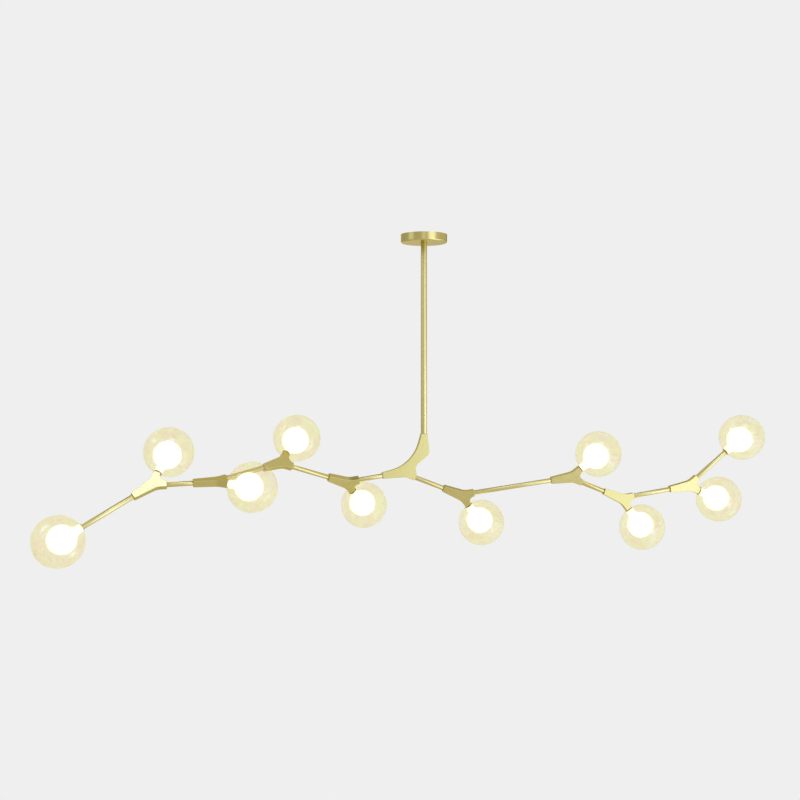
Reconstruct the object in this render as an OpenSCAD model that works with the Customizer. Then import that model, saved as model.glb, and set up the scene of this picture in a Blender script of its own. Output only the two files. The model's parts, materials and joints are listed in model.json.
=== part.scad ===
/* [Canopy] */
// Outside diameter of the ceiling canopy
canopy_d = 120; // [110:1:200]
// Height of the canopy below the ceiling
canopy_h = 22; // [19:0.5:60]
// Sheet thickness of the canopy
canopy_wall = 1.2; // [0.8:0.1:2]
// Outside radius of the canopy's lower edge
canopy_edge_r = 3; // [2.5:0.5:8]

/* [Bracket] */
// Length of the crossbar
bracket_len = 100; // [94:1:106]
// Width of the crossbar
bracket_w = 22; // [20:0.5:28]
// Thickness of the crossbar
bracket_t = 2; // [1.5:0.1:3]
// Distance between the centres of the two slots
slot_spacing = 70; // [64:1:72]
// Width of each slot
slot_w = 4.5; // [4:0.1:6]
// Overall length of each slot
slot_len = 16; // [8:0.5:18]

/* [Threads and wire ways] */
// Outside diameter of every screw thread on the nipple, tubes and castings
thread_d = 10; // [9:0.5:10.5]
// Length of thread screwed into a casting
thread_len = 10; // [7:0.5:12]
// Diameter of the way for the wires
wire_d = 7; // [4:0.5:7.5]
// Radial clearance between a male and a female thread
thread_clear = 0.05; // [0.03:0.01:0.1]
// Gap between a turning casting and the shoulder of its tube
swivel_gap = 0.3; // [0.2:0.05:0.6]
// Thickness of the lock nut
nut_t = 4; // [3:0.5:6]
// Distance across the flats of the lock nut
nut_flats = 14; // [13.5:0.5:16]

/* [Down rod] */
// Diameter of the down rod
rod_d = 16; // [14:0.5:20]
// Wall of the down rod
rod_wall = 1.5; // [1:0.1:2]
// Length of the down rod
rod_len = 495; // [200:5:1500]
// Length of the threaded plug brazed into each end of the rod
rod_plug = 16; // [15:0.5:30]

/* [Castings] */
// Width of a limb at its square-cut end
limb_w = 16; // [15:0.5:20]
// Thickness of the castings
plate_t = 16; // [13:0.5:20]
// Length of a hub's long limb, from where its three limbs meet
long_limb = 50; // [42:0.5:80]
// Length of a hub's two short limbs
short_limb = 36; // [32:0.5:60]
// Angle of each short limb to the long one's line
fork_angle = 31; // [28:0.5:40]
// Angle at which the sides of a long limb widen
limb_taper = 5.5; // [3:0.1:6]
// Radius of the hollow between a long and a short limb
shoulder_r = 40; // [10:1:45]
// Radius of the hollow between the two short limbs
crotch_r = 13; // [6:0.5:14]

/* [Centre hub] */
// Distance of the meeting point of the limbs from the rod's line
hub_offset = 59; // [54:0.5:64]
// Height of the rod's lower end above that meeting point
hub_rise = 99.5; // [92:0.5:120]
// Length of the left limb
left_limb = 51.5; // [44:0.5:80]
// Length of the right limb
right_limb = 38; // [36:0.5:50]
// Slope of the left limb below the level
left_drop = 9.1; // [5:0.1:14]
// Slope of the right limb below the level
right_drop = 21.2; // [17:0.1:26]
// Slope of the upper limb before it bends upright
neck_slope = 39.2; // [37:0.2:42]
// Distance of the upper limb's lower side from the meeting point
neck_half = 9.6; // [9:0.1:11]
// Lean of the upper limb's outer side at the rod
swell_lean = 5.8; // [4:0.1:8]
// Lean of the upper limb's inner side at the rod
sweep_lean = 15; // [12:0.5:18]
// Radius of the long sweep from the left limb to the rod
sweep_r = 100; // [60:1:110]
// Radius of the swelling's outer corner
swell_r = 16; // [8:0.5:18]
// Radius of the hollow above the right limb
fork_r = 18; // [8:0.5:20]
// Lean of the edge above the right limb's end
fork_lean = 10.4; // [6:0.2:14]

/* [Arm tubes] */
// Diameter of the arm tubes
tube_d = 12; // [11:0.5:14]
// Visible length of tube 1, to the far left globe
tube_1_len = 133; // [70:0.5:300]
// Visible length of tube 2
tube_2_len = 60.5; // [55:0.5:200]
// Visible length of tube 3
tube_3_len = 111; // [90:0.5:300]
// Visible length of tube 4
tube_4_len = 104; // [90:0.5:300]
// Visible length of tube 5, left of the centre hub
tube_5_len = 62; // [55:0.5:200]
// Visible length of tube 6, right of the centre hub
tube_6_len = 80.5; // [60:0.5:200]
// Visible length of tube 7, the longest
tube_7_len = 205.5; // [120:0.5:400]
// Visible length of tube 8
tube_8_len = 65; // [55:0.5:200]
// Visible length of tube 9
tube_9_len = 102; // [80:0.5:300]
// Visible length of tube 10, to the far right globe
tube_10_len = 103.5; // [80:0.5:300]

/* [Set of the hubs] */
// Turn of hub 1 about its tube, from upright
turn_1 = -31; // [-60:1:60]
// Turn of hub 2 about its tube, from upright
turn_2 = -70; // [-90:1:0]
// Turn of hub 3 about its tube, from upright
turn_3 = -34; // [-60:1:60]
// Turn of hub 4 about its tube, from upright
turn_4 = 34; // [-60:1:60]
// Turn of hub 5 about its tube, from upright
turn_5 = 16; // [-60:1:60]
// Turn of hub 6 about its tube, from upright
turn_6 = 8; // [-60:1:60]
// Turn of hub 7 about its tube, from upright
turn_7 = 0; // [-60:1:60]
// Turn of hub 8 about its tube, from upright
turn_8 = 2; // [-60:1:60]

/* [Lampholders and lamps] */
// Diameter of a lampholder's rim
rim_d = 21; // [20:0.5:24]
// Thickness of a lampholder's rim
rim_t = 2; // [1.6:0.1:3]
// Diameter of a lampholder's sleeve inside the glass
sleeve_d = 15.2; // [14.6:0.1:16]
// Length of the sleeve beyond the rim
sleeve_len = 20; // [18:0.5:22]
// Diameter of the ceramic socket insert
socket_d = 12.6; // [12:0.1:13]
// Length of the ceramic socket insert
socket_len = 14; // [12:0.5:16]
// Depth of the thread in a lampholder
holder_thread = 7; // [5:0.5:8]
// Diameter of a capsule lamp
bulb_d = 15; // [12:0.5:15.4]
// Length of a capsule lamp without its pins
bulb_len = 38; // [30:1:44]
// Distance between a lamp's two pins
pin_spacing = 6; // [5:0.5:6.5]

/* [Glass] */
// Outside diameter of a globe
globe_d = 120; // [110:1:130]
// Wall of the glass
glass_wall = 1.8; // [1.2:0.1:2.4]
// Outside diameter of the opal inner ball
opal_d = 68; // [64:1:76]
// Distance of the opal ball's centre from the globe's, towards the neck
opal_shift = 8.5; // [6:0.5:12]
// Radius of the flare from the opal neck to its ball
flare_r = 16; // [10:1:20]
// Clearance between the glass and its lampholder
glass_clear = 0.3; // [0.2:0.05:0.5]

/* [Hidden] */
NODES = [
  "mounting_bracket", "threaded_nipple", "lock_nut", "earth_terminal", "terminal_block",
  "canopy", "down_rod", "centre_hub",
  "hub_1", "hub_2", "hub_3", "hub_4", "hub_5", "hub_6", "hub_7", "hub_8",
  "tube_1", "tube_2", "tube_3", "tube_4", "tube_5",
  "tube_6", "tube_7", "tube_8", "tube_9", "tube_10",
  "lampholder_1", "lampholder_2", "lampholder_3", "lampholder_4", "lampholder_5",
  "lampholder_6", "lampholder_7", "lampholder_8", "lampholder_9", "lampholder_10",
  "bulb_1", "bulb_2", "bulb_3", "bulb_4", "bulb_5",
  "bulb_6", "bulb_7", "bulb_8", "bulb_9", "bulb_10",
  "shade_1", "shade_2", "shade_3", "shade_4", "shade_5",
  "shade_6", "shade_7", "shade_8", "shade_9", "shade_10"
];
node = "all";
$fn = 96;

// A cut runs this far past the face that it opens
over = 1;
// A screw end stops this far short of the bottom of its hole
end_gap = 0.5;
thread_r = thread_d / 2;
bore_r = thread_r + thread_clear;
wire_r = wire_d / 2;

// The hubs, tubes and globes are numbered from left to right, and entry 0 stays unused.
tube_len = [
  0, tube_1_len, tube_2_len, tube_3_len, tube_4_len, tube_5_len,
  tube_6_len, tube_7_len, tube_8_len, tube_9_len, tube_10_len
];
hub_turn = [0, turn_1, turn_2, turn_3, turn_4, turn_5, turn_6, turn_7, turn_8];
// 1 where a hub's globe limb is the upper one, -1 where it is the lower one
globe_side = [0, 1, -1, 1, -1, -1, 1, -1, -1];
last_hub = 8;
last_left = last_hub / 2;
// Each outer tube ends in a globe of its own, so there are two more globes than hubs.
last_globe = last_hub + 2;

// ---- Directions and places -------------------------------------------------

function unit(v) = v / norm(v);

// Vector v turned about the unit axis k
function turned(v, k, angle) =
  v * cos(angle) + cross(k, v) * sin(angle) + k * (k * v) * (1 - cos(angle));

// Unit vector square to the axis that is closest to the viewer's side, -Y
function facing(axis) = unit([0, -1, 0] - axis * (axis * [0, -1, 0]));

// A place is [origin, x direction, y direction, z direction].
module at(place) {
  o = place[0];
  x = place[1];
  y = place[2];
  z = place[3];
  multmatrix([
    [x[0], y[0], z[0], o[0]],
    [x[1], y[1], z[1], o[1]],
    [x[2], y[2], z[2], o[2]],
    [0, 0, 0, 1]
  ]) children();
}

// The place of a turned piece that starts at a point and runs along a direction
function along(start, direction, side) = [start, side, cross(direction, side), direction];

hub_top_z = -canopy_h - rod_len;
centre = [-hub_offset, 0, hub_top_z - hub_rise];
left_dir = [-cos(left_drop), 0, -sin(left_drop)];
right_dir = [cos(right_drop), 0, -sin(right_drop)];

function is_left(k) = k <= last_left;

// Number of the hub nearer the centre; the tube that carries hub k has the number k + 1
function inner_hub(k) = is_left(k) ? k + 1 : k - 1;
function at_centre(k) = k == last_left || k == last_left + 1;

// Where the carrying tube of hub k leaves the piece nearer the centre, and its direction outwards
function tube_start(k) =
  at_centre(k) ? centre + (is_left(k) ? left_dir * left_limb : right_dir * right_limb)
               : outer_end(inner_hub(k));
function tube_dir(k) =
  at_centre(k) ? (is_left(k) ? left_dir : right_dir) : outer_dir(inner_hub(k));

// End of the carrying tube of hub k, which is the end face of the hub's inner limb
function tube_end(k) = tube_start(k) + tube_dir(k) * tube_len[k + 1];

// The inner limb is a short one on the left side and the long one on the right side.
function meeting_point(k) = tube_end(k) + tube_dir(k) * (is_left(k) ? short_limb : long_limb);

// Side direction of the fork, square to the carrying tube
function fork_side(k) =
  let (axis = is_left(k) ? -tube_dir(k) : tube_dir(k))
  cross(turned(facing(axis), axis, hub_turn[k]), axis) * globe_side[k];

// x runs from the long limb's end to the meeting point, y to the globe's side
function hub_x(k) =
  is_left(k) ? -tube_dir(k) * cos(fork_angle) + fork_side(k) * sin(fork_angle) : tube_dir(k);
function hub_y(k) =
  is_left(k) ? tube_dir(k) * sin(fork_angle) + fork_side(k) * cos(fork_angle) : fork_side(k);
function hub_place(k) = [meeting_point(k), hub_x(k), hub_y(k), cross(hub_x(k), hub_y(k))];

// The limb that carries the next tube outwards
function outer_dir(k) =
  is_left(k) ? -hub_x(k) : hub_x(k) * cos(fork_angle) - hub_y(k) * sin(fork_angle);
function outer_end(k) =
  meeting_point(k) + outer_dir(k) * (is_left(k) ? long_limb : short_limb);

// The limb that carries a globe
function globe_dir(k) = hub_x(k) * cos(fork_angle) + hub_y(k) * sin(fork_angle);
function globe_end(k) = meeting_point(k) + globe_dir(k) * short_limb;
function hub_side(k) = cross(hub_x(k), hub_y(k));

// Place of tube n, from its inner end outwards
function tube_place(n) =
  n == 1 ? along(outer_end(1), outer_dir(1), hub_side(1)) :
  n == last_globe ? along(outer_end(last_hub), outer_dir(last_hub), hub_side(last_hub)) :
  along(tube_start(n - 1), tube_dir(n - 1), hub_side(n - 1));

// Place of the seat of globe n: globes 1 and 10 end the outer tubes, the others sit on a hub
function seat_place(n) =
  n == 1 || n == last_globe
    ? let (p = tube_place(n)) along(p[0] + p[3] * tube_len[n], p[3], p[1])
    : along(globe_end(n - 1), globe_dir(n - 1), hub_side(n - 1));

// ---- Outlines --------------------------------------------------------------

// Where the line from p along d meets the line from q along e
function meet(p, d, q, e) = p + d * (cross(q - p, e) / cross(d, e));

function heading(angle) = [cos(angle), sin(angle)];

// Corner p between neighbours a and b, rounded to radius r in steps
function corner(a, p, b, r, steps = 10) =
  r == 0 ? [p] :
  let (
    u = unit(a - p),
    v = unit(b - p),
    half = acos(u * v) / 2,
    middle = p + unit(u + v) * r / sin(half),
    from = p + u * r / tan(half) - middle,
    first = atan2(from[1], from[0]),
    sweep = (180 - 2 * half) * (cross(u, v) < 0 ? 1 : -1)
  )
  [for (i = [0:steps]) middle + r * heading(first + sweep * i / steps)];

// Outline through points of the form [point, radius]
function rounded(list) =
  let (n = len(list))
  [for (i = [0:n - 1])
    each corner(list[(i + n - 1) % n][0], list[i][0], list[(i + 1) % n][0], list[i][1])];

function flipped(p) = [p[0], -p[1]];

// Outline of a hub: long limb to the left, two short limbs to the right
half_w = limb_w / 2;
long_corner = [-long_limb, half_w];
short_dir = heading(fork_angle);
short_across = heading(fork_angle + 90);
short_outer = short_dir * short_limb + short_across * half_w;
short_inner = short_dir * short_limb - short_across * half_w;
shoulder = meet(long_corner, heading(limb_taper), short_outer, short_dir);
crotch = meet(short_inner, short_dir, [0, 0], [1, 0]);
hub_outline = rounded([
  [long_corner, 0],
  [shoulder, shoulder_r],
  [short_outer, 0],
  [short_inner, 0],
  [crotch, crotch_r],
  [flipped(short_inner), 0],
  [flipped(short_outer), 0],
  [flipped(shoulder), shoulder_r],
  [flipped(long_corner), 0]
]);

// Outline of the centre hub, from the limbs' meeting point, x level and y upwards
left_end = -heading(left_drop) * left_limb;
left_up = heading(left_drop + 90) * half_w;
right_end = heading(-right_drop) * right_limb;
right_up = heading(90 - right_drop) * half_w;
rod_left = [hub_offset - rod_d / 2, hub_rise];
rod_right = [hub_offset + rod_d / 2, hub_rise];
neck_side = heading(neck_slope - 90) * neck_half;
neck_dir = heading(neck_slope);
sweep_corner =
  meet(left_end + left_up, heading(left_drop + limb_taper), rod_left, heading(90 - sweep_lean));
swell_corner = meet(rod_right, heading(swell_lean - 90), neck_side, neck_dir);
fork_corner = meet(right_end + right_up, heading(90 + fork_lean), neck_side, neck_dir);
belly_corner =
  meet(left_end - left_up, heading(left_drop - limb_taper), right_end - right_up,
       heading(-right_drop));
centre_outline = rounded([
  [left_end + left_up, 0],
  [sweep_corner, sweep_r],
  [rod_left, 0],
  [rod_right, 0],
  [swell_corner, swell_r],
  [fork_corner, fork_r],
  [right_end + right_up, 0],
  [right_end - right_up, 0],
  [belly_corner, shoulder_r],
  [left_end - left_up, 0]
]);

// ---- Ceiling fitting -------------------------------------------------------

brass = "#d9c877";
steel = "#b8bcc0";

// The terminal block and the earth screw sit on the bracket between the nut and the slots.
hole_x = (slot_spacing - slot_len) / 2;
block_w = 14;
block_depth = 28;
block_h = 13;
block_x = hole_x - slot_w / 2 - block_w / 2;
block_bore_r = 2.2;
block_pitch = 9;
block_screw_r = 1.7;
earth_x = -(nut_flats / sqrt(3) + hole_x) / 2;
earth_r = 2;
washer_r = 4.5;
washer_t = 0.8;
earth_head_r = 3.5;
earth_head_t = 2.4;
earth_slot = [2 * earth_head_r + over, 0.8, 2];
// The wire bores lie across the block above its middle, and the screws run past them.
block_bore_z = -bracket_t - 0.4 * block_h;
block_screw_len = 0.6 * block_h;

module slot_shape(length, width) {
  square([length - width, width], center = true);
  for (side = [-1, 1]) translate([side * (length - width) / 2, 0]) circle(d = width);
}

module mounting_bracket() {
  color(steel)
  translate([0, 0, -bracket_t])
  difference() {
    linear_extrude(bracket_t)
    difference() {
      slot_shape(bracket_len, bracket_w);
      for (side = [-1, 1]) translate([side * slot_spacing / 2, 0]) slot_shape(slot_len, slot_w);
    }
    translate([0, 0, -over]) cylinder(r = bore_r, h = bracket_t + 2 * over);
    translate([earth_x, 0, -over]) cylinder(r = earth_r + thread_clear, h = bracket_t + 2 * over);
  }
}

// Length of the nipple, and of the centre hub's spigot, inside a plug of the rod
plug_gap = 2;
plug_reach = rod_plug - plug_gap;

module threaded_nipple() {
  length = canopy_h + plug_reach;
  color(steel)
  translate([0, 0, -length])
  difference() {
    cylinder(r = thread_r, h = length);
    translate([0, 0, -over]) cylinder(r = wire_r, h = length + 2 * over);
  }
}

module lock_nut() {
  color(steel)
  translate([0, 0, -bracket_t - nut_t])
  difference() {
    cylinder(d = nut_flats * 2 / sqrt(3), h = nut_t, $fn = 6);
    translate([0, 0, -over]) cylinder(r = bore_r, h = nut_t + 2 * over);
  }
}

module earth_terminal() {
  head_z = -washer_t - thread_clear;
  color(brass)
  translate([earth_x, 0, -bracket_t]) {
    difference() {
      translate([0, 0, -washer_t]) cylinder(r = washer_r, h = washer_t);
      translate([0, 0, -washer_t - over])
        cylinder(r = earth_r + thread_clear, h = washer_t + 2 * over);
    }
    difference() {
      union() {
        translate([0, 0, head_z]) cylinder(r = earth_r, h = bracket_t - head_z);
        translate([0, 0, head_z - earth_head_t]) cylinder(r = earth_head_r, h = earth_head_t);
      }
      translate([0, 0, head_z - earth_head_t]) cube(earth_slot, center = true);
    }
  }
}

module terminal_block() {
  color("white")
  difference() {
    translate([block_x - block_w / 2, -block_depth / 2, -bracket_t - block_h])
    cube([block_w, block_depth, block_h]);
    for (pole = [-1:1]) {
      translate([block_x - block_w / 2 - over, pole * block_pitch, block_bore_z])
      rotate([0, 90, 0]) cylinder(r = block_bore_r, h = block_w + 2 * over);
      for (side = [-1, 1])
        translate([block_x + side * block_w / 4, pole * block_pitch, -bracket_t - block_h - over])
        cylinder(r = block_screw_r, h = block_screw_len + over);
    }
  }
}

module canopy() {
  r = canopy_d / 2;
  inner_edge = canopy_edge_r - canopy_wall;
  outer_bend = corner([r, 0], [r, -canopy_h], [0, -canopy_h], canopy_edge_r);
  inner_bend = corner([0, canopy_wall - canopy_h], [r - canopy_wall, canopy_wall - canopy_h],
                      [r - canopy_wall, 0], inner_edge);
  color(brass)
  rotate_extrude()
  polygon(concat([[r, 0]], outer_bend, [[bore_r, -canopy_h], [bore_r, canopy_wall - canopy_h]],
                 inner_bend, [[r - canopy_wall, 0]]));
}

module down_rod() {
  outer = rod_d / 2;
  inner = outer - rod_wall;
  top = -canopy_h;
  bottom = hub_top_z;
  color(brass)
  rotate_extrude()
  polygon([
    [bore_r, top], [outer, top], [outer, bottom], [bore_r, bottom],
    [bore_r, bottom + rod_plug], [inner, bottom + rod_plug],
    [inner, top - rod_plug], [bore_r, top - rod_plug]
  ]);
}

// ---- Castings --------------------------------------------------------------

// The wire ways of a casting meet in a flat round chamber, a little larger than they are.
chamber_margin = 0.5;
chamber_r = wire_r / sin(fork_angle) + chamber_margin;
chamber_h = wire_d + 2 * chamber_margin;
chamber_inset = chamber_r / 2;

module wire_chamber() {
  cylinder(r = chamber_r, h = chamber_h, center = true);
}

// A limb's threaded hole and wire way, from its end face at z = 0 down into the chamber
module limb_bore(length) {
  depth = thread_len + end_gap;
  translate([0, 0, -depth]) cylinder(r = bore_r, h = depth + over);
  translate([0, 0, chamber_inset - length]) cylinder(r = wire_r, h = length - chamber_inset);
}

// A threaded spigot on an end face, with its root inside the casting
module spigot(length, root) {
  translate([0, 0, -root]) cylinder(r = thread_r, h = length + root);
}

module centre_hub() {
  bend = [hub_offset, hub_offset * tan(neck_slope)];
  color(brass)
  translate(centre)
  rotate([90, 0, 0])
  difference() {
    union() {
      linear_extrude(plate_t, center = true) polygon(centre_outline);
      translate([hub_offset, hub_rise, 0]) rotate([-90, 0, 0]) spigot(plug_reach, thread_len);
    }
    translate(concat(left_end, 0)) rotate([0, 0, left_drop]) rotate([0, -90, 0])
      limb_bore(left_limb);
    translate(concat(right_end, 0)) rotate([0, 0, -right_drop]) rotate([0, 90, 0])
      limb_bore(right_limb);
    wire_chamber();
    rotate([0, 0, neck_slope]) rotate([0, 90, 0]) translate([0, 0, chamber_inset])
      cylinder(r = wire_r, h = norm(bend) - 2 * chamber_inset);
    translate(concat(bend, 0)) {
      wire_chamber();
      rotate([-90, 0, 0]) translate([0, 0, chamber_inset])
        cylinder(r = wire_r, h = hub_rise + plug_reach - bend[1] - chamber_inset + over);
    }
  }
}

module hub(k) {
  color(brass)
  at(hub_place(k))
  difference() {
    union() {
      linear_extrude(plate_t, center = true) polygon(hub_outline);
      rotate([0, 0, fork_angle]) translate([short_limb, 0, 0]) rotate([0, 90, 0])
        spigot(holder_thread - end_gap, thread_len);
    }
    translate([-long_limb, 0, 0]) rotate([0, -90, 0]) limb_bore(long_limb);
    rotate([0, 0, -fork_angle]) translate([short_limb, 0, 0]) rotate([0, 90, 0])
      limb_bore(short_limb);
    wire_chamber();
    rotate([0, 0, fork_angle]) rotate([0, 90, 0]) translate([0, 0, chamber_inset])
      cylinder(r = wire_r, h = short_limb + holder_thread - chamber_inset + over);
  }
}

// ---- Arm tubes -------------------------------------------------------------

module tube(n) {
  ends_arm = n == 1 || n == last_globe;
  shoulder_z = tube_len[n] - (ends_arm ? 0 : swivel_gap);
  tip = ends_arm ? holder_thread - end_gap : thread_len;
  color(brass)
  at(tube_place(n))
  rotate_extrude()
  polygon([
    [wire_r, -thread_len], [thread_r, -thread_len], [thread_r, 0], [tube_d / 2, 0],
    [tube_d / 2, shoulder_z], [thread_r, shoulder_z], [thread_r, shoulder_z + tip],
    [wire_r, shoulder_z + tip]
  ]);
}

// ---- Lampholders, lamps and glass, each along z from its seat ---------------

// The ceramic insert stands proud of its sleeve and takes the lamp's two pins.
insert_proud = 2;
sleeve_top = rim_t + sleeve_len;
socket_floor = sleeve_top - socket_len + insert_proud;
socket_top = socket_floor + socket_len;
socket_clear = 0.1;
pin_slot = [1.8, 3.2];
pin_slot_depth = 10;
pin_r = 0.6;
pin_len = 9;
pin_root = 1;
// The rim's lower part flares out from the size of the limb's end.
rim_flare = 0.6 * rim_t;
// The lamp's pinched foot is a little narrower than its bulb.
foot_len = 0.25 * bulb_len;
foot_r = bulb_d / 2 - 1;
foot_step = 1;
dome_r = bulb_d / 2 - 2;

module lampholder(n) {
  color(brass)
  at(seat_place(n))
  difference() {
    rotate_extrude()
    polygon([
      [0, 0], [half_w, 0], [rim_d / 2, rim_flare], [rim_d / 2, rim_t],
      [sleeve_d / 2, rim_t], [sleeve_d / 2, sleeve_top], [0, sleeve_top]
    ]);
    translate([0, 0, -over]) cylinder(r = bore_r, h = holder_thread + over);
    cylinder(r = wire_r, h = sleeve_top);
    translate([0, 0, socket_floor]) cylinder(d = socket_d + 2 * socket_clear, h = sleeve_top);
  }
  color("white")
  at(seat_place(n))
  translate([0, 0, socket_floor + socket_clear])
  difference() {
    cylinder(d = socket_d, h = socket_len);
    for (side = [-1, 1])
      translate([side * pin_spacing / 2 - pin_slot[0] / 2, -pin_slot[1] / 2,
                 socket_len - pin_slot_depth])
      cube(concat(pin_slot, pin_slot_depth + over));
  }
}

module bulb(n) {
  r = bulb_d / 2;
  dome = corner([r, foot_len], [r, bulb_len], [0, bulb_len], dome_r);
  color("ivory")
  at(seat_place(n))
  translate([0, 0, socket_top + glass_clear]) {
    rotate_extrude()
    polygon(concat([[0, 0], [foot_r, 0], [foot_r, foot_len - foot_step], [r, foot_len]], dome,
                   [[0, bulb_len]]));
    for (side = [-1, 1])
      translate([side * pin_spacing / 2, 0, -pin_len])
      cylinder(r = pin_r, h = pin_len + pin_root);
  }
}

// The globe's mouth stands just off the rim, and its neck just off the sleeve.
neck_bore_r = sleeve_d / 2 + glass_clear;
neck_r = neck_bore_r + glass_wall;
globe_r = globe_d / 2;
opal_r = opal_d / 2;
mouth_z = rim_t + glass_clear;
globe_z = mouth_z + sqrt(globe_r ^ 2 - neck_r ^ 2);
opal_z = globe_z - opal_shift;

// The flare's circle touches the straight neck and the opal ball.
flare_x = neck_r + flare_r;
flare_z = opal_z - sqrt((opal_r + flare_r) ^ 2 - flare_x ^ 2);
flare_end = atan2(opal_z - flare_z, -flare_x);
flare_steps = 6;
flare_arc = [
  for (i = [0:flare_steps])
    [flare_x, flare_z] + flare_r * heading(180 + (flare_end - 180) * i / flare_steps)
];

module shade(n) {
  color("lightyellow", 0.5)
  at(seat_place(n))
  difference() {
    union() {
      difference() {
        translate([0, 0, globe_z]) sphere(globe_r);
        translate([0, 0, globe_z]) sphere(globe_r - glass_wall);
        translate([0, 0, mouth_z - globe_r]) cylinder(r = globe_r, h = globe_r);
      }
      rotate_extrude()
      polygon(concat([[0, mouth_z], [neck_r, mouth_z]], flare_arc,
                     [[0, flare_arc[flare_steps][1]]]));
      translate([0, 0, opal_z]) sphere(opal_r);
    }
    translate([0, 0, opal_z]) sphere(opal_r - glass_wall);
    translate([0, 0, mouth_z - over]) cylinder(r = neck_bore_r, h = opal_z - mouth_z + over);
  }
}

// ---- The part --------------------------------------------------------------

function shown(name) = node == "all" || node == name;

if (shown("mounting_bracket")) mounting_bracket();
if (shown("threaded_nipple")) threaded_nipple();
if (shown("lock_nut")) lock_nut();
if (shown("earth_terminal")) earth_terminal();
if (shown("terminal_block")) terminal_block();
if (shown("canopy")) canopy();
if (shown("down_rod")) down_rod();
if (shown("centre_hub")) centre_hub();
for (k = [1:last_hub]) if (shown(str("hub_", k))) hub(k);
for (n = [1:last_globe]) if (shown(str("tube_", n))) tube(n);
for (n = [1:last_globe]) if (shown(str("lampholder_", n))) lampholder(n);
for (n = [1:last_globe]) if (shown(str("bulb_", n))) bulb(n);
for (n = [1:last_globe]) if (shown(str("shade_", n))) shade(n);
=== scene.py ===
import json
import math

import bmesh
import bpy
from mathutils import Matrix, Vector


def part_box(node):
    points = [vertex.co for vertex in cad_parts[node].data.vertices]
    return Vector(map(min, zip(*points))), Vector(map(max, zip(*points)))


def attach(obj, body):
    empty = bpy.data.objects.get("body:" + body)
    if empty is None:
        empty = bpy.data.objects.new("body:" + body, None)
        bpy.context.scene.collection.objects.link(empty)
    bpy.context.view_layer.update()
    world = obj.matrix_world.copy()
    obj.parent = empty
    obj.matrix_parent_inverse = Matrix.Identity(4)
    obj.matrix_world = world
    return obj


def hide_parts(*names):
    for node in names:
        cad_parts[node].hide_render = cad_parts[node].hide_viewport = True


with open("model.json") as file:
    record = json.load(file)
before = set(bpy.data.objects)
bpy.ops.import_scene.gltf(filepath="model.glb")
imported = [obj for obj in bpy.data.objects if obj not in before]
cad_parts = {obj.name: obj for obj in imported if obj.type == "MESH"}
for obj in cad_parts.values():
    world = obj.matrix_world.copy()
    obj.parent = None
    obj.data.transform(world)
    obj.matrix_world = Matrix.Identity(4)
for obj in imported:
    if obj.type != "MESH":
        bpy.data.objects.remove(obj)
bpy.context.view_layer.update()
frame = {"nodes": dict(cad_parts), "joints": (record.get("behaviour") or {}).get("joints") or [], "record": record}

NODES = frame["nodes"]
BODY_OF = {
    node: body
    for body, nodes in frame["record"]["behaviour"]["bodies"].items()
    for node in nodes
}
JOINTS = {joint["name"]: joint for joint in frame["joints"]}
HUBS = range(1, 1 + sum(name.startswith("arm_") for name in JOINTS))
GLOBES = range(1, 1 + sum(name.startswith("globe_") for name in JOINTS))
END_TUBES = (GLOBES[0], GLOBES[-1])

# ---- Sizes in millimetres: the part's own, and the trim that the scene adds ---

MM = 0.001  # metres in a millimetre

THREAD_R = 5.0
THREAD_LEN = 10.0
THREAD_CLEAR = 0.05
TAPPED_R = THREAD_R + THREAD_CLEAR
THREAD_PITCH = 1.0
THREAD_DEPTH = 0.45
WIRE_R = 3.5

CANOPY_WALL = 1.2
CANOPY_EDGE_R = 4.5  # rounder than the solid's, as a spun edge is
ROD_R = 8.0
ROD_WALL = 1.5
ROD_PLUG = 16.0
ROD_EASE = 0.4

TUBE_R = 6.0
TUBE_EASE = 0.25
CASTING_EASE = 0.7

HOLDER_FOOT_R = 8.0  # half a limb's width
HOLDER_THREAD = 7.0
END_GAP = 0.5  # an end tube stops this short of the bottom of its lampholder's thread
END_THREAD_LEN = HOLDER_THREAD - END_GAP
RIM_R = 10.5
RIM_T = 2.0
RIM_FLARE = 0.6 * RIM_T
RIM_EASE = 0.25
FLARE_EASE = 0.4
SLEEVE_R = 7.6
SLEEVE_LEN = 20.0
SLEEVE_TOP = RIM_T + SLEEVE_LEN
SLEEVE_EASE = 0.4
SLEEVE_ROOT = 0.3  # small chamfer where the sleeve leaves the rim
LINE_HEIGHTS = (5.0, 6.2)  # the two fine lines turned into the sleeve
LINE_DEPTH = 0.25
LINE_WIDTH = 0.7
LINE_SLOPE = 0.2
SOCKET_R = 6.3
SOCKET_CLEAR = 0.1
SOCKET_LEN = 14.0
INSERT_PROUD = 2.0  # the ceramic insert stands this far out of the sleeve
SOCKET_TOP = SLEEVE_TOP + INSERT_PROUD
SOCKET_FLOOR = SOCKET_TOP - SOCKET_LEN

LAMP_GAP = 0.4  # the lamp stands just clear of the ceramic
LAMP_SEAT = SOCKET_TOP + LAMP_GAP
LAMP_R = 7.5
LAMP_LEN = 38.0
LAMP_FOOT_R = LAMP_R - 1.0
LAMP_FOOT_LEN = 0.25 * LAMP_LEN
LAMP_FOOT_EASE = 0.4
LAMP_COLLAR = 2.0
LAMP_SEAM = 0.05
LAMP_DOME_R = LAMP_R - 2.0

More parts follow.
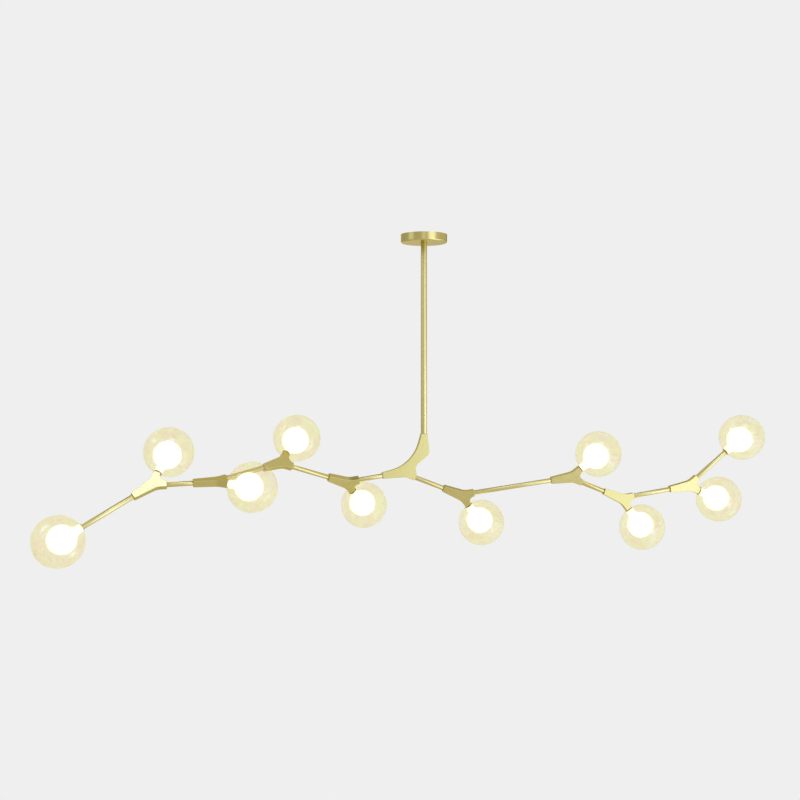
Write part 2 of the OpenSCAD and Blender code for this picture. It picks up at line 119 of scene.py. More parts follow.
GLASS_CLEAR = 0.3
GLASS_WALL = 1.8
GLASS_SEAM = 0.06  # keeps the clear ball's mouth off the face of the opal neck
LIP_EASE = 0.3
BORE_R = SLEEVE_R + GLASS_CLEAR
NECK_R = BORE_R + GLASS_WALL
FLARE_R = 16.0
MOUTH_Z = RIM_T + GLASS_CLEAR
GLOBE_R = 60.0
GLOBE_Z = MOUTH_Z + math.sqrt(GLOBE_R**2 - NECK_R**2)
OPAL_R = 34.0
OPAL_SHIFT = 8.5
OPAL_Z = GLOBE_Z - OPAL_SHIFT

# ---- Objects and places ------------------------------------------------------


def add_object(name, data, place):
    obj = bpy.data.objects.new(name, data)
    bpy.context.scene.collection.objects.link(obj)
    obj.matrix_world = place
    return obj


def axes_place(x, y, z, origin):
    """The place of a frame with the given axes and origin."""
    return Matrix(
        (
            (x.x, y.x, z.x, origin.x),
            (x.y, y.y, z.y, origin.y),
            (x.z, y.z, z.z, origin.z),
            (0, 0, 0, 1),
        )
    )


# ---- Camera ------------------------------------------------------------------

# fitted to the globes, castings, canopy and rod of the photograph together
VIEW = Vector((0.2006, 0.9797, 0.0)).normalized()
RIGHT = Vector((VIEW.y, -VIEW.x, 0.0))
UP = Vector((0.0, 0.0, 1.0))
CAMERA_AT = Vector((-0.6516, -2.8726, -0.4244))
PITCH = math.radians(-0.10)
FOCAL_PX = 1133.24
PICTURE_PX = 800
SENSOR_MM = 36.0
FAR_CLIP = 50


def make_camera():
    data = bpy.data.cameras.new("camera")
    data.sensor_width = SENSOR_MM
    data.sensor_fit = "HORIZONTAL"
    data.lens = FOCAL_PX / PICTURE_PX * SENSOR_MM
    data.clip_end = FAR_CLIP
    forward = VIEW * math.cos(PITCH) + UP * math.sin(PITCH)
    up = UP * math.cos(PITCH) - VIEW * math.sin(PITCH)
    place = axes_place(RIGHT, up, -forward, CAMERA_AT)
    bpy.context.scene.camera = add_object("camera", data, place)


# ---- Node helpers ------------------------------------------------------------


class Tree:
    """A short way to write a node tree."""

    def __init__(self, tree):
        self.tree = tree
        self.nodes = tree.nodes
        self.nodes.clear()

    def add(self, kind, inputs=None, **settings):
        node = self.nodes.new(kind)
        for key, value in settings.items():
            setattr(node, key, value)
        for key, value in (inputs or {}).items():
            self.put(node.inputs[key], value)
        return node

    def put(self, socket, value):
        """Links a socket or a node's first output, or sets a plain value."""
        if isinstance(value, bpy.types.NodeSocket):
            self.tree.links.new(value, socket)
        elif isinstance(value, bpy.types.Node):
            self.tree.links.new(value.outputs[0], socket)
        else:
            socket.default_value = value

    def place(self):
        """The shaded point in the piece's own frame."""
        return self.add("ShaderNodeTexCoord").outputs["Object"]

    def math(self, operation, a, b=0.0, c=0.0):
        node = self.add("ShaderNodeMath", operation=operation)
        for socket, value in zip(node.inputs, (a, b, c)):
            self.put(socket, value)
        return node.outputs[0]

    def dot(self, vector, axis):
        inputs = {0: vector, 1: tuple(axis)}
        node = self.add("ShaderNodeVectorMath", inputs, operation="DOT_PRODUCT")
        return node.outputs["Value"]

    def span(self, value, low, high, to_low=0.0, to_high=1.0, smooth=False):
        """Carries the range low to high over to the range to_low to to_high."""
        kind = "SMOOTHSTEP" if smooth else "LINEAR"
        node = self.add("ShaderNodeMapRange", interpolation_type=kind)
        for socket, v in zip(node.inputs, (value, low, high, to_low, to_high)):
            self.put(socket, v)
        return node.outputs[0]

    def mix(self, factor, a, b):
        node = self.add("ShaderNodeMix", data_type="RGBA")
        self.put(node.inputs[0], factor)
        self.put(node.inputs[6], a)
        self.put(node.inputs[7], b)
        return node.outputs[2]

    def blend(self, a, b, share):
        """A weighted sum, with the given share of a."""
        part = self.math("MULTIPLY", a, share)
        rest = self.math("MULTIPLY", b, 1 - share)
        return self.math("ADD", part, rest)

    def noise(self, vector, scale, detail=2.0, rough=0.5):
        inputs = {"Vector": vector, "Scale": scale, "Detail": detail, "Roughness": rough}
        return self.add("ShaderNodeTexNoise", inputs).outputs[0]

    def grain(self, vector, scales, detail=2.0, rough=0.5):
        """Noise stretched by a scale of its own along each axis."""
        stretched = self.add("ShaderNodeMapping", {"Vector": vector, "Scale": scales})
        return self.noise(stretched.outputs[0], 1.0, detail, rough)

    def bump(self, height, strength, distance):
        inputs = {"Height": height, "Strength": strength, "Distance": distance}
        return self.add("ShaderNodeBump", inputs).outputs[0]

    def surface(self, shader):
        out = self.add("ShaderNodeOutputMaterial")
        self.put(out.inputs["Surface"], shader)


def material(name):
    mat = bpy.data.materials.new(name)
    mat.use_nodes = True
    return mat, Tree(mat.node_tree)


def rgb(r, g, b):
    return (r, g, b, 1.0)


# ---- Materials ---------------------------------------------------------------

MIDRANGE = (0.3, 0.7)  # where most of a noise's values lie
GOLD = rgb(0.545, 0.468, 0.165)
GOLD_DEEP = rgb(0.515, 0.432, 0.142)


def round_grain(t, place):
    """Coordinates that depend on the radius and the height alone, for rings round the axis."""
    flat = t.add("ShaderNodeVectorMath", {0: place, 1: (1, 1, 0)}, operation="MULTIPLY")
    radius = t.add("ShaderNodeVectorMath", {0: flat}, operation="LENGTH").outputs["Value"]
    height = t.add("ShaderNodeSeparateXYZ", {0: place}).outputs[2]
    return t.add("ShaderNodeCombineXYZ", {0: radius, 1: height}).outputs[0]


def brass(name, grain, light, dark, rough, bump=0.02, spun=False):
    """Satin lacquered brass. grain is how fine the brushing is along each of the piece's axes;
    a spun piece is brushed in rings and shines across them."""
    mat, t = material(name)
    place = t.place()
    lines = t.grain(round_grain(t, place) if spun else place, grain, 3.0, 0.6)
    cloud = t.noise(place, 22.0, 3.0, 0.55)
    tone = t.span(t.blend(lines, cloud, 0.55), *MIDRANGE, smooth=True)
    brushed = t.span(lines, *MIDRANGE, rough - 0.035, rough + 0.035)
    handled = t.span(cloud, *MIDRANGE, -0.02, 0.03)
    inputs = {
        "Base Color": t.mix(tone, dark, light),
        "Metallic": 1.0,
        "Roughness": t.math("ADD", brushed, handled),
        "Normal": t.bump(lines, bump, 0.0002),
        "Specular Tint": rgb(1.0, 0.88, 0.45),
        "Coat Weight": 0.2,
        "Coat Roughness": 0.14,
        "Coat IOR": 1.5,
    }
    if spun:
        inputs["Anisotropic"] = 0.5
        inputs["Tangent"] = t.add("ShaderNodeTangent", direction_type="RADIAL", axis="Z")
    t.surface(t.add("ShaderNodeBsdfPrincipled", inputs))
    return mat


def zinc_steel():
    """Pressed steel with the spangle of a zinc coat."""
    mat, t = material("zinc_steel")
    place = t.place()
    flakes = t.add("ShaderNodeTexVoronoi", {"Vector": place, "Scale": 260.0}).outputs["Color"]
    flake = t.add("ShaderNodeSeparateColor", {0: flakes}).outputs[0]
    cloud = t.noise(place, 60.0, 4.0)
    pressed = t.grain(place, (40, 700, 700))
    tone = t.blend(flake, cloud, 0.4)
    inputs = {
        "Base Color": t.mix(tone, rgb(0.42, 0.44, 0.46), rgb(0.70, 0.72, 0.73)),
        "Metallic": 1.0,
        "Roughness": t.span(cloud, *MIDRANGE, 0.26, 0.42),
        "Normal": t.bump(pressed, 0.08, 0.0002),
    }
    t.surface(t.add("ShaderNodeBsdfPrincipled", inputs))
    return mat


def moulded(name, light, dark, rough):
    """Moulded plastic or ceramic with a fine grain."""
    mat, t = material(name)
    place = t.place()
    cloud = t.noise(place, 90.0, 3.0)
    speck = t.noise(place, 1200.0, 1.0)
    inputs = {
        "Base Color": t.mix(t.span(cloud, *MIDRANGE), dark, light),
        "Roughness": t.span(cloud, *MIDRANGE, rough - 0.05, rough + 0.05),
        "Normal": t.bump(speck, 0.1, 0.0001),
    }
    t.surface(t.add("ShaderNodeBsdfPrincipled", inputs))
    return mat


def lamp_cover():
    """Frosted, lit cover of a capsule lamp."""
    mat, t = material("lamp_cover")
    place = t.place()
    frost = t.noise(place, 700.0)
    cloud = t.noise(place, 80.0)
    inputs = {
        "Base Color": t.mix(cloud, rgb(0.93, 0.90, 0.80), rgb(0.97, 0.95, 0.88)),
        "Roughness": t.span(frost, *MIDRANGE, 0.35, 0.5),
        "Emission Color": rgb(1.0, 0.93, 0.78),
        "Emission Strength": 1.3,
        "Normal": t.bump(frost, 0.1, 0.0001),
    }
    t.surface(t.add("ShaderNodeBsdfPrincipled", inputs))
    return mat


def opal_glass():
    """Opal glass with the light of the lamp inside painted on as its own glow: white all over, with the faint
    cloudiness of blown opal.
    """
    mat, t = material("opal_glass")
    place = t.place()
    cloud = t.noise(place, 30.0, 3.0)
    swirl = t.grain(place, (20, 20, 60))
    inputs = {
        "Base Color": t.mix(cloud, rgb(0.90, 0.88, 0.82), rgb(0.95, 0.94, 0.90)),
        "Roughness": t.span(swirl, *MIDRANGE, 0.12, 0.22),
        # painted glow: this emission stands for the light of the lamp inside shining through the opal
        "Emission Color": t.mix(swirl, rgb(1.0, 0.975, 0.91), rgb(1.0, 0.985, 0.95)),
        "Emission Strength": 1.05,
        "IOR": 1.5,
        "Coat Weight": 1.0,
        "Coat Roughness": 0.05,
        "Coat IOR": 1.45,
        "Coat Tint": rgb(0.96, 0.96, 0.93),
    }
    t.surface(t.add("ShaderNodeBsdfPrincipled", inputs))
    return mat


def lustre_glass(name, greenish, rosy, pale, shine, haze):
    """Thin clear glass. Its tint drifts between a greenish and a rosy lustre, fades to pale in
    swirls and has small pale specks, which are painted glints. shine is its gloss seen square on
    and edge on, and haze is its share of mist."""
    mat, t = material(name)
    place = t.place()
    swirl = t.grain(place, (14, 14, 30), 3.0, 0.55)
    patch = t.noise(place, 28.0)
    ripple_and_glints = t.noise(place, 140.0)
    lustre = t.mix(t.span(patch, 0.42, 0.58, smooth=True), greenish, rosy)
    faded = t.mix(t.span(swirl, 0.45, 0.70, 0.0, 0.6), lustre, pale)
    # painted glints: where the fine ripple noise runs high, the tint turns almost white in small pale specks
    tint = t.mix(t.span(ripple_and_glints, 0.57, 0.65, smooth=True), faded, rgb(1.0, 1.0, 0.96))
    wave = t.bump(t.math("MULTIPLY_ADD", ripple_and_glints, 0.35, swirl), 0.4, 0.004)
    facing = t.add("ShaderNodeLayerWeight", {"Blend": 0.5, "Normal": wave}).outputs["Facing"]
    gloss = t.span(t.math("POWER", facing, 5.0), 0.0, 1.0, *shine)
    clear = t.add("ShaderNodeBsdfTransparent", {"Color": tint})
    mist = t.add("ShaderNodeBsdfTranslucent", {"Color": rgb(0.95, 0.94, 0.90)})
    mirror = t.add("ShaderNodeBsdfGlossy", {"Roughness": 0.02, "Normal": wave})
    misted = t.add("ShaderNodeMixShader", {0: haze, 1: clear, 2: mist})
    t.surface(t.add("ShaderNodeMixShader", {0: gloss, 1: misted, 2: mirror}))
    return mat


# ---- Meshes ------------------------------------------------------------------

WELD = 1e-6  # vertices closer than this many metres are one
FLAT_ANGLE = math.radians(0.5)  # faces that meet at less than this are one
ON_AXIS = 1e-6  # a smaller radius is a pole
LEVEL = 0.999  # least z part of the normal of a casting's flat side
PLATE_AREA = 200.0  # least area of a flat side, in square millimetres
UPRIGHT = 0.99  # least z part of the direction of a square end's corner edge
CORNER_LEN = 10.0  # least length of such an edge
CORNER_TURN = 0.6  # least turn between its two faces, in radians
QUARTER_MID = 0.293  # where a quarter round's middle stands between its corner and its centre


def object_from(bm, name, mat, place, sharp=32):
    """The edited mesh as an object, smooth but for edges that turn by more than sharp degrees."""
    mesh = bpy.data.meshes.new(name)
    bm.to_mesh(mesh)
    bm.free()
    for face in mesh.polygons:
        face.use_smooth = True
    mesh.set_sharp_from_angle(angle=math.radians(sharp))
    mesh.materials.append(mat)
    return add_object(name, mesh, place)


def keep_flats(obj):
    """Large faces keep their own direction, and the rounded edges between them do the turning."""
    obj.modifiers.new("flats", "WEIGHTED_NORMAL").keep_sharp = True
    graph = bpy.context.evaluated_depsgraph_get()
    mesh = bpy.data.meshes.new_from_object(obj.evaluated_get(graph))
    obj.modifiers.clear()
    obj.data = mesh
    return obj


def ring(bm, radii, z):
    """Evenly spaced vertices round the axis at height z, one for each radius."""
    turns = [2 * math.pi * i / len(radii) for i in range(len(radii))]
    return [
        bm.verts.new((r * MM * math.cos(a), r * MM * math.sin(a), z * MM))
        for r, a in zip(radii, turns)
    ]


def bridge(bm, rings):
    """Faces from each ring to the next and from the last to the first. A ring of one vertex is
    a pole, and two poles have nothing between them."""
    for a, b in zip(rings, rings[1:] + rings[:1]):
        count = max(len(a), len(b))
        if count == 1:
            continue
        for i in range(count):
            j = (i + 1) % count
            if len(a) == 1:
                bm.faces.new((a[0], b[j], b[i]))
            elif len(b) == 1:
                bm.faces.new((a[i], a[j], b[0]))
            else:
                bm.faces.new((a[i], a[j], b[j], b[i]))
    bmesh.ops.recalc_face_normals(bm, faces=bm.faces)


def lathe(name, profile, mat, place, segments):
    """A closed solid turned about z from [radius, z] points in millimetres."""
    bm = bmesh.new()
    rings = [ring(bm, [0.0] if r < ON_AXIS else [r] * segments, z) for r, z in profile]
    bridge(bm, rings)
    return object_from(bm, name, mat, place)


def squared(obj):
    """Turns the mesh and leaves the piece's own frame parallel to the row's, so its box is true."""
    place = obj.matrix_world.copy()
    obj.data.transform(place.to_3x3().to_4x4())
    obj.matrix_world = Matrix.Translation(place.translation)
    return obj


def arc(cx, cz, r, start, end, steps):
    """Points on a circle in the profile plane, angles in degrees from +r towards +z."""
    turns = [math.radians(start + (end - start) * i / steps) for i in range(steps + 1)]
    return [(cx + r * math.cos(a), cz + r * math.sin(a)) for a in turns]


def eased(points, ease):
    """The same outline with each square corner rounded a little, as a deburred edge is."""
    out = []
    for i, (r, z) in enumerate(points):
        before, after = points[i - 1], points[(i + 1) % len(points)]
        corner = Vector((r, z))
        u = Vector((before[0] - r, before[1] - z)).normalized() * ease
        v = Vector((after[0] - r, after[1] - z)).normalized() * ease
        out += [tuple(corner + u), tuple(corner + (u + v) * QUARTER_MID), tuple(corner + v)]
    return out


def axis_place(node, axis):
    """Place of a turned node: z along the axis, origin at its lower end. Also its length in mm."""
    z = Vector(axis).normalized()
    # any direction well off the axis serves to set x
    side = Vector((0, 0, 1)) if abs(z.z) < 0.9 else Vector((1, 0, 0))
    x = (side - z * side.dot(z)).normalized()
    y = z.cross(x)
    points = [v.co for v in NODES[node].data.vertices]

    def limits(direction):
        values = [p.dot(direction) for p in points]
        return min(values), max(values)

    x0, x1 = limits(x)
    y0, y1 = limits(y)
    z0, z1 = limits(z)
    origin = x * (x0 + x1) / 2 + y * (y0 + y1) / 2 + z * z0
    return axes_place(x, y, z, origin), (z1 - z0) / MM


def plate_place(node, along):
    """Place of a flat casting: z square to its flat face, x along the given direction."""
    plate = max(NODES[node].data.polygons, key=lambda face: face.area)
    z = plate.normal.normalized()
    x = Vector(along)
    x = (x - z * x.dot(z)).normalized()
    low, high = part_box(node)
    return axes_place(x, z.cross(x), z, (low + high) / 2)


def solid_of(node, place):
    """The node's own mesh as an edit in the frame of the given place, with its flat faces whole."""
    bm = bmesh.new()
    bm.from_mesh(NODES[node].data)
    bmesh.ops.transform(bm, matrix=place.inverted(), verts=bm.verts)
    bmesh.ops.remove_doubles(bm, verts=bm.verts, dist=WELD)
    bmesh.ops.dissolve_limit(bm, angle_limit=FLAT_ANGLE, verts=bm.verts, edges=bm.edges)
    return bm


def is_plate(face):
    """Whether a face is one of a casting's two flat sides, in the casting's frame."""
    return abs(face.normal.z) > LEVEL and face.calc_area() > PLATE_AREA * MM**2


def is_corner(edge):
    """Whether an edge is an upright corner of a casting's square end, in the casting's frame."""
    if len(edge.link_faces) != 2:
        return False
    upright = abs((edge.verts[0].co - edge.verts[1].co).normalized().z) > UPRIGHT
    long_enough = edge.calc_length() > CORNER_LEN * MM
    return upright and long_enough and edge.calc_face_angle() > CORNER_TURN


def casting(name, node, along, mat):
    """The casting's own solid with its long edges rounded as a polished casting's are."""
    place = plate_place(node, along)
    bm = solid_of(node, place)
    rim = {edge for face in bm.faces if is_plate(face) for edge in face.edges}
    rim.update(edge for edge in bm.edges if is_corner(edge))
    bmesh.ops.bevel(
        bm,
        geom=list(rim),
        offset=CASTING_EASE * MM,
        segments=3,
        profile=0.5,
        affect="EDGES",
        clamp_overlap=True,
    )
    bmesh.ops.recalc_face_normals(bm, faces=bm.faces)
    return keep_flats(object_from(bm, name, mat, place, sharp=40))


def settle(obj, node):
    """The piece rides on its node's body and stands for that node."""
    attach(obj, BODY_OF[node])
    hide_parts(node)


# ---- Ceiling fitting ---------------------------------------------------------


def canopy_profile():
    """Spun cup, open towards the ceiling, with a rounded lower edge and a hole for the nipple."""
    low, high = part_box("canopy")
    r, h = high.x / MM, -low.z / MM
    edge_at = (r - CANOPY_EDGE_R, CANOPY_EDGE_R - h)
    return (
        [(r - CANOPY_WALL, 0), (r, 0)]
        + arc(*edge_at, CANOPY_EDGE_R, 0, -90, steps=8)
        + [(TAPPED_R, -h), (TAPPED_R, CANOPY_WALL - h)]
        + arc(*edge_at, CANOPY_EDGE_R - CANOPY_WALL, -90, 0, steps=6)
    )


def rod_profile(length):
    """Tube with a tapped plug in each end."""
    inner = ROD_R - ROD_WALL
    outline = [
        (TAPPED_R, 0),
        (ROD_R, 0),
        (ROD_R, length),
        (TAPPED_R, length),
        (TAPPED_R, length - ROD_PLUG),
        (inner, length - ROD_PLUG),
        (inner, ROD_PLUG),
        (TAPPED_R, ROD_PLUG),
    ]
    return eased(outline, ROD_EASE)


def threaded_rod(name, length, mat, place):
    """A hollow rod with a real helical thread that runs out near both ends."""
    rows_a_turn, segments = 4, 40
    plain_ends = 1.6  # the least length without thread, both ends together
    run_out = 0.6  # the share of the thread's depth that is cut away where it has run out
    root = THREAD_R - THREAD_DEPTH
    turns = int((length - plain_ends) / THREAD_PITCH)
    start = (length - turns * THREAD_PITCH) / 2
    last = turns * rows_a_turn

    def radius(row, i):
        phase = (row / rows_a_turn + i / segments) % 1.0
        ridge = abs(phase * 2 - 1)
        fade = min(1.0, row / rows_a_turn, (last - row) / rows_a_turn)
        cut = THREAD_DEPTH * (1 - ridge) * fade
        return THREAD_R - cut - (1 - fade) * THREAD_DEPTH * run_out

    bm = bmesh.new()
    thread = []
    for row in range(last + 1):
        radii = [radius(row, i) for i in range(segments)]
        thread.append(ring(bm, radii, start + row * THREAD_PITCH / rows_a_turn))
    foot = [ring(bm, [r] * segments, 0) for r in (WIRE_R, root)]
    head = [ring(bm, [r] * segments, length) for r in (root, WIRE_R)]
    bridge(bm, foot + thread + head)
    return object_from(bm, name, mat, place, sharp=25)


def ceiling_fitting(spun, drawn, turned, steel, plastic):
    at_ceiling = Matrix.Identity(4)
    canopy = lathe("canopy_shell", canopy_profile(), spun, at_ceiling, segments=256)
    settle(keep_flats(canopy), "canopy")

    place, length = axis_place("down_rod", UP)
    rod = lathe("rod", rod_profile(length), drawn, place, segments=128)
    settle(rod, "down_rod")

    place, length = axis_place("threaded_nipple", UP)
    nipple = threaded_rod("nipple", length, steel, place)
    settle(nipple, "threaded_nipple")

    for node, mat in (
        ("mounting_bracket", steel),
        ("lock_nut", steel),
        ("earth_terminal", turned),
        ("terminal_block", plastic),
    ):
        NODES[node].data.materials.clear()
        NODES[node].data.materials.append(mat)


# ---- Branch ------------------------------------------------------------------


def tube_axis(n):
    """The direction of tube n. An end tube lies along its globe's slide, and any other tube along
    the axis that its outer arm turns about."""
    joint = f"globe_{n}_lift" if n in END_TUBES else f"arm_{n - 1}_turn"
    return JOINTS[joint]["axis"]


def tube_profile(length, tip):
    """Bored tube with a thread of the given length at its outer end."""
    outline = [
        (WIRE_R, 0),
        (THREAD_R, 0),
        (THREAD_R, THREAD_LEN),
        (TUBE_R, THREAD_LEN),
        (TUBE_R, length - tip),
        (THREAD_R, length - tip),
        (THREAD_R, length),
        (WIRE_R, length),
    ]
    return eased(outline, TUBE_EASE)


def branch(cast, turned):
    for k in HUBS:
        fork = casting(f"fork_{k}", f"hub_{k}", JOINTS[f"arm_{k}_turn"]["axis"], cast)
        settle(fork, f"hub_{k}")
    centre = casting("centre_fork", "centre_hub", (1, 0, 0), cast)
    settle(centre, "centre_hub")
    for n in GLOBES:
        place, length = axis_place(f"tube_{n}", tube_axis(n))
        profile = tube_profile(length, END_THREAD_LEN if n in END_TUBES else THREAD_LEN)
        tube = lathe(f"arm_tube_{n}", profile, turned, place, segments=64)
        settle(tube, f"tube_{n}")


# ---- Lampholders, lamps and globes, each along z from its seat ---------------


def holder_profile():
    """Brass cup: a flared rim, a sleeve with two fine turned lines, and the socket's bore."""
    rim = [
        (TAPPED_R, 0),
        (HOLDER_FOOT_R, 0),
        (RIM_R - FLARE_EASE, RIM_FLARE - FLARE_EASE / 2),
        (RIM_R, RIM_FLARE + FLARE_EASE / 4),
        (RIM_R, RIM_T - RIM_EASE),
        (RIM_R - RIM_EASE, RIM_T),
        (SLEEVE_R + SLEEVE_ROOT, RIM_T),
        (SLEEVE_R, RIM_T + SLEEVE_ROOT),
    ]
    lines = []
    for z in LINE_HEIGHTS:
        lines += [
            (SLEEVE_R, z),
            (SLEEVE_R - LINE_DEPTH, z + LINE_SLOPE),
            (SLEEVE_R - LINE_DEPTH, z + LINE_WIDTH - LINE_SLOPE),
            (SLEEVE_R, z + LINE_WIDTH),
        ]
    cup = [
        (SLEEVE_R, SLEEVE_TOP - SLEEVE_EASE),
        (SLEEVE_R - SLEEVE_EASE, SLEEVE_TOP),
        (SOCKET_R + SOCKET_CLEAR, SLEEVE_TOP),
        (SOCKET_R + SOCKET_CLEAR, SOCKET_FLOOR),
        (WIRE_R, SOCKET_FLOOR),
        (WIRE_R, HOLDER_THREAD),
        (TAPPED_R, HOLDER_THREAD),
    ]
    return rim + lines + cup


def lamp_foot_profile():
    """Pinched foot of a capsule lamp, up to the collar that its cover stands on."""
    top = LAMP_FOOT_LEN + LAMP_COLLAR
    return [
        (0, 0),
        (LAMP_FOOT_R - LAMP_FOOT_EASE, 0),
        (LAMP_FOOT_R, LAMP_FOOT_EASE),
        (LAMP_FOOT_R, LAMP_FOOT_LEN - (LAMP_R - LAMP_FOOT_R)),
        (LAMP_R, LAMP_FOOT_LEN),
        (LAMP_R, top),
        (0, top),
    ]


def lamp_profile():
    """Domed cover of a capsule lamp."""
    foot = LAMP_FOOT_LEN + LAMP_COLLAR + LAMP_SEAM
    dome = arc(LAMP_R - LAMP_DOME_R, LAMP_LEN - LAMP_DOME_R, LAMP_DOME_R, 0, 90, steps=10)
    return [(0, foot), (LAMP_R, foot)] + dome + [(0, LAMP_LEN)]


def clear_profile():
    """The clear ball: outer face from the mouth round to the far pole and back inside."""
    inner = GLOBE_R - GLASS_WALL
    mouth_r = NECK_R + GLASS_SEAM
    start = math.degrees(math.asin((MOUTH_Z - GLOBE_Z) / GLOBE_R))
    stop = -math.degrees(math.acos(mouth_r / inner))
    outside = arc(0, GLOBE_Z, GLOBE_R, start, 90, steps=72)[1:]
    inside = arc(0, GLOBE_Z, inner, 90, stop, steps=72)
    return [(mouth_r, MOUTH_Z)] + outside + inside


def opal_profile():
    """The opal ball: a neck that flares into the ball, round to the far pole and back inside."""
    inner = OPAL_R - GLASS_WALL
    flare_at = NECK_R + FLARE_R
    flare_z = OPAL_Z - math.sqrt((OPAL_R + FLARE_R) ** 2 - flare_at**2)
    touch = math.degrees(math.atan2(OPAL_Z - flare_z, -flare_at))
    stop = -math.degrees(math.acos(BORE_R / inner))
    lip = [(BORE_R, MOUTH_Z), (NECK_R - LIP_EASE, MOUTH_Z), (NECK_R, MOUTH_Z + LIP_EASE)]
    flare = arc(flare_at, flare_z, FLARE_R, 180, touch, steps=14)
    ball = arc(0, OPAL_Z, OPAL_R, touch - 180, 90, steps=48)[1:]
    inside = arc(0, OPAL_Z, inner, 90, stop, steps=40)
    return lip + flare + ball + inside


def islands(bm):
    """Lists of the vertices of each part that hangs together."""
    left = set(bm.verts)
    parts = []
    while left:
        stack = [left.pop()]
        part = list(stack)
        while stack:
            edges = stack.pop().link_edges
            found = {v for e in edges for v in e.verts if v in left}
            left -= found
            part += found
            stack += found
        parts.append(part)
    return parts


def lampholder(n, seat, cup, ceramic):
    """The brass cup, and the ceramic insert out of the node's own mesh."""
    node = f"lampholder_{n}"
    holder = lathe(f"holder_{n}", holder_profile(), cup, seat, segments=72)
    settle(holder, node)

    bm = solid_of(node, seat)
    # the cup starts at the seat, and the insert stands on the floor above it
    half_way = SOCKET_FLOOR / 2 * MM
    cup_verts = [v for part in islands(bm) if min(v.co.z for v in part) < half_way for v in part]
    bmesh.ops.delete(bm, geom=cup_verts, context="VERTS")
    socket = object_from(bm, f"socket_{n}", ceramic, seat)
    settle(socket, node)


def lamp(n, seat, foot, cover):
    lamp_seat = seat @ Matrix.Translation((0, 0, LAMP_SEAT * MM))
    for name, profile, mat in (
        (f"lamp_foot_{n}", lamp_foot_profile(), foot),
        (f"lamp_{n}", lamp_profile(), cover),
    ):
        piece = lathe(name, profile, mat, lamp_seat, segments=48)
        settle(piece, f"bulb_{n}")


def globe(n, seat, opal, outer, inner):
    """The opal ball, and the clear ball with its inner face in a glass of its own."""
    ball = lathe(f"opal_ball_{n}", opal_profile(), opal, seat, segments=96)
    settle(squared(ball), f"shade_{n}")

    shell = lathe(f"clear_ball_{n}", clear_profile(), outer, seat, segments=128)
    shell.data.materials.append(inner)
    centre = Vector((0, 0, GLOBE_Z * MM))
    for face in shell.data.polygons:
        if (face.center - centre).length < (GLOBE_R - GLASS_WALL / 2) * MM:
            face.material_index = 1
    settle(squared(shell), f"shade_{n}")


# ---- Studio ------------------------------------------------------------------

BACKDROP = 0.8632  # the photograph's even pale grey
PANEL_TARGET = Vector((0, 0, -0.5))
PANEL_DISTANCE = 10.0
COOL = (0.54, 0.65, 1.0)
DRAPE_AT = (163, 6)  # azimuth and elevation, just off the picture's axis


def direction(azimuth, elevation):
    """A direction from the object: azimuth 0 is towards the camera, + to the picture's right."""
    a, e = math.radians(azimuth), math.radians(elevation)
    return (-VIEW * math.cos(a) + RIGHT * math.sin(a)) * math.cos(e) + UP * math.sin(e)


def softbox(name, azimuth, elevation, wide, tall, level, colour):
    """A soft panel that faces the object, as wide and tall as the given angles, and shows at
    the given radiance."""
    light = bpy.data.lights.new(name, "AREA")
    light.shape = "RECTANGLE"
    width = 2 * PANEL_DISTANCE * math.tan(math.radians(wide) / 2)
    height = 2 * PANEL_DISTANCE * math.tan(math.radians(tall) / 2)
    light.size = width
    light.size_y = height
    light.energy = level * math.pi * width * height
    light.color = colour
    out = direction(azimuth, elevation)
    turn = out.to_track_quat("Z", "Y").to_matrix().to_4x4()
    add_object(name, light, Matrix.Translation(PANEL_TARGET + out * PANEL_DISTANCE) @ turn)


def room_colour(t):
    """The pale room that brass and glass mirror: lighter to the front, to the right and away
    from the level, darker straight above, with a dark drape behind the lamp."""
    way = t.add("ShaderNodeTexCoord").outputs["Generated"]
    height = t.add("ShaderNodeSeparateXYZ", {0: way}).outputs[2]
    front = t.span(t.dot(way, -VIEW), -0.8, 0.4, 0.64, 0.70, smooth=True)
    right = t.span(t.dot(way, RIGHT), -0.9, 0.9, -0.06, 0.12, smooth=True)
    off_level = t.math("MULTIPLY", t.math("ABSOLUTE", height), 0.12)
    above = t.span(height, 0.84, 0.98, 1.0, 0.5, smooth=True)
    drape = t.span(t.dot(way, direction(*DRAPE_AT)), 0.90, 0.985, 1.0, 0.30, smooth=True)
    walls = t.math("ADD", t.math("ADD", front, right), off_level)
    room = t.math("MULTIPLY", t.math("MULTIPLY", walls, above), drape)
    return t.mix(room, rgb(0, 0, 0), rgb(1.0, 0.98, 0.92))


def studio():
    """The backdrop's grey to camera and transmission rays, and the room to all others."""
    world = bpy.data.worlds.new("studio")
    bpy.context.scene.world = world
    world.use_nodes = True
    t = Tree(world.node_tree)
    path = t.add("ShaderNodeLightPath").outputs
    seen = t.math("MAXIMUM", path["Is Camera Ray"], path["Is Transmission Ray"])
    back = t.add("ShaderNodeBackground", {"Color": rgb(BACKDROP, BACKDROP, BACKDROP)})
    around = t.add("ShaderNodeBackground", {"Color": room_colour(t)})
    mixed = t.add("ShaderNodeMixShader", {0: seen, 1: around, 2: back})
    out = t.add("ShaderNodeOutputWorld")
    t.put(out.inputs["Surface"], mixed)

    # name, azimuth, elevation, width and height in degrees, radiance, colour
    softbox("key_side", 40, 4, 35, 54, 2.0, COOL)
    softbox("key_foot", 46, -20, 26, 14, 1.8, (0.48, 0.65, 2.1))
    softbox("key_low", 78, -30, 54, 52, 1.6, COOL)
    softbox("key_top", 12, 58, 26, 20, 4.0, (0.52, 0.64, 1.4))
    softbox("sill", 180, -12, 44, 16, 0.3, (0.60, 0.66, 0.75))
    softbox("window_left", -86, 38, 13, 18, 6.0, COOL)
    softbox("strip_front", -2, 4, 12, 50, 0.95, COOL)
    softbox("strip_left", -68, 4, 24, 40, 1.0, COOL)


# ---- The scene ---------------------------------------------------------------

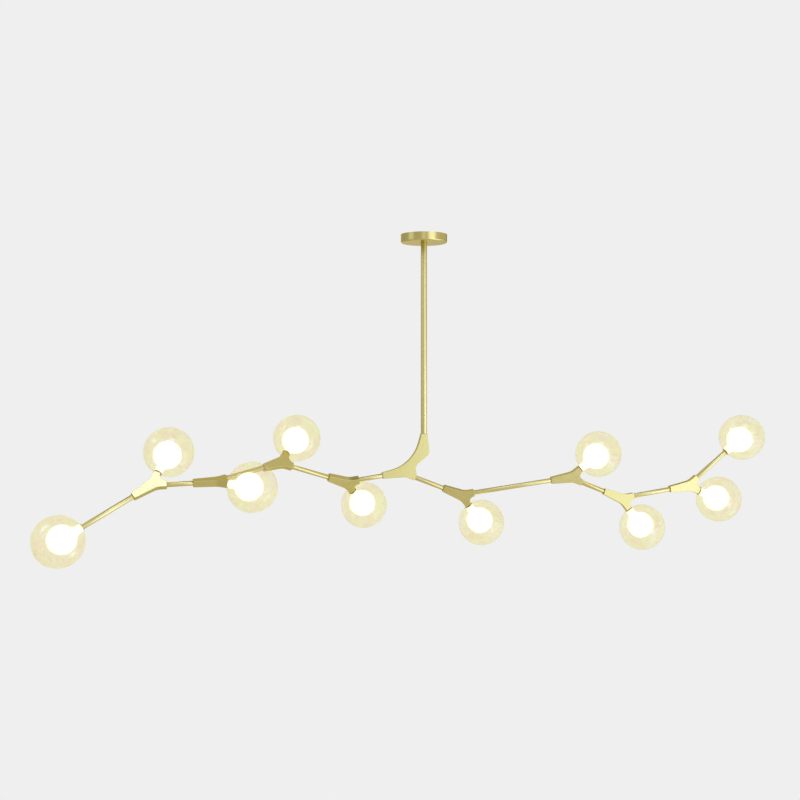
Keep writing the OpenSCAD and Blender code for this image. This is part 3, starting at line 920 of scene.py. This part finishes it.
bpy.context.scene.view_settings.view_transform = "Standard"
make_camera()
studio()

cast_brass = brass("cast_brass", (60, 700, 700), GOLD, GOLD_DEEP, rough=0.30)
spun_brass = brass("spun_brass", (900, 900, 0), GOLD, GOLD_DEEP, rough=0.24, spun=True)
holder_brass = brass("holder_brass", (60, 60, 900), GOLD, GOLD_DEEP, rough=0.26)
turned_brass = brass(
    "turned_brass",
    grain=(200, 200, 20),
    light=rgb(0.585, 0.503, 0.188),
    dark=rgb(0.555, 0.468, 0.165),
    rough=0.32,
    bump=0.004,
)
rod_brass = brass(
    "rod_brass",
    grain=(120, 120, 14),
    light=rgb(0.60, 0.52, 0.21),
    dark=rgb(0.57, 0.485, 0.185),
    rough=0.37,
    bump=0.004,
)
steel = zinc_steel()
white_plastic = moulded("white_plastic", rgb(0.88, 0.87, 0.83), rgb(0.82, 0.81, 0.77), 0.45)
ceramic = moulded("ceramic", rgb(0.90, 0.88, 0.82), rgb(0.84, 0.82, 0.76), 0.3)
foot_plastic = moulded("lamp_foot", rgb(0.90, 0.89, 0.86), rgb(0.84, 0.83, 0.80), 0.4)
frosted = lamp_cover()
opal = opal_glass()
outer_glass = lustre_glass(
    "lustre_glass_outer",
    greenish=rgb(1.0, 0.995, 0.735),
    rosy=rgb(1.0, 0.925, 0.725),
    pale=rgb(1.0, 0.99, 0.88),
    shine=(0.022, 0.13),
    haze=0.06,
)
inner_glass = lustre_glass(
    "lustre_glass_inner",
    greenish=rgb(0.998, 1.0, 0.995),
    rosy=rgb(1.0, 0.998, 0.995),
    pale=rgb(1.0, 1.0, 1.0),
    shine=(0.03, 0.08),
    haze=0.02,
)

ceiling_fitting(spun_brass, rod_brass, turned_brass, steel, white_plastic)
branch(cast_brass, turned_brass)
for n in GLOBES:
    seat, _ = axis_place(f"lampholder_{n}", JOINTS[f"globe_{n}_lift"]["axis"])
    lampholder(n, seat, holder_brass, ceramic)
    lamp(n, seat, foot_plastic, frosted)
    globe(n, seat, opal, outer_glass, inner_glass)
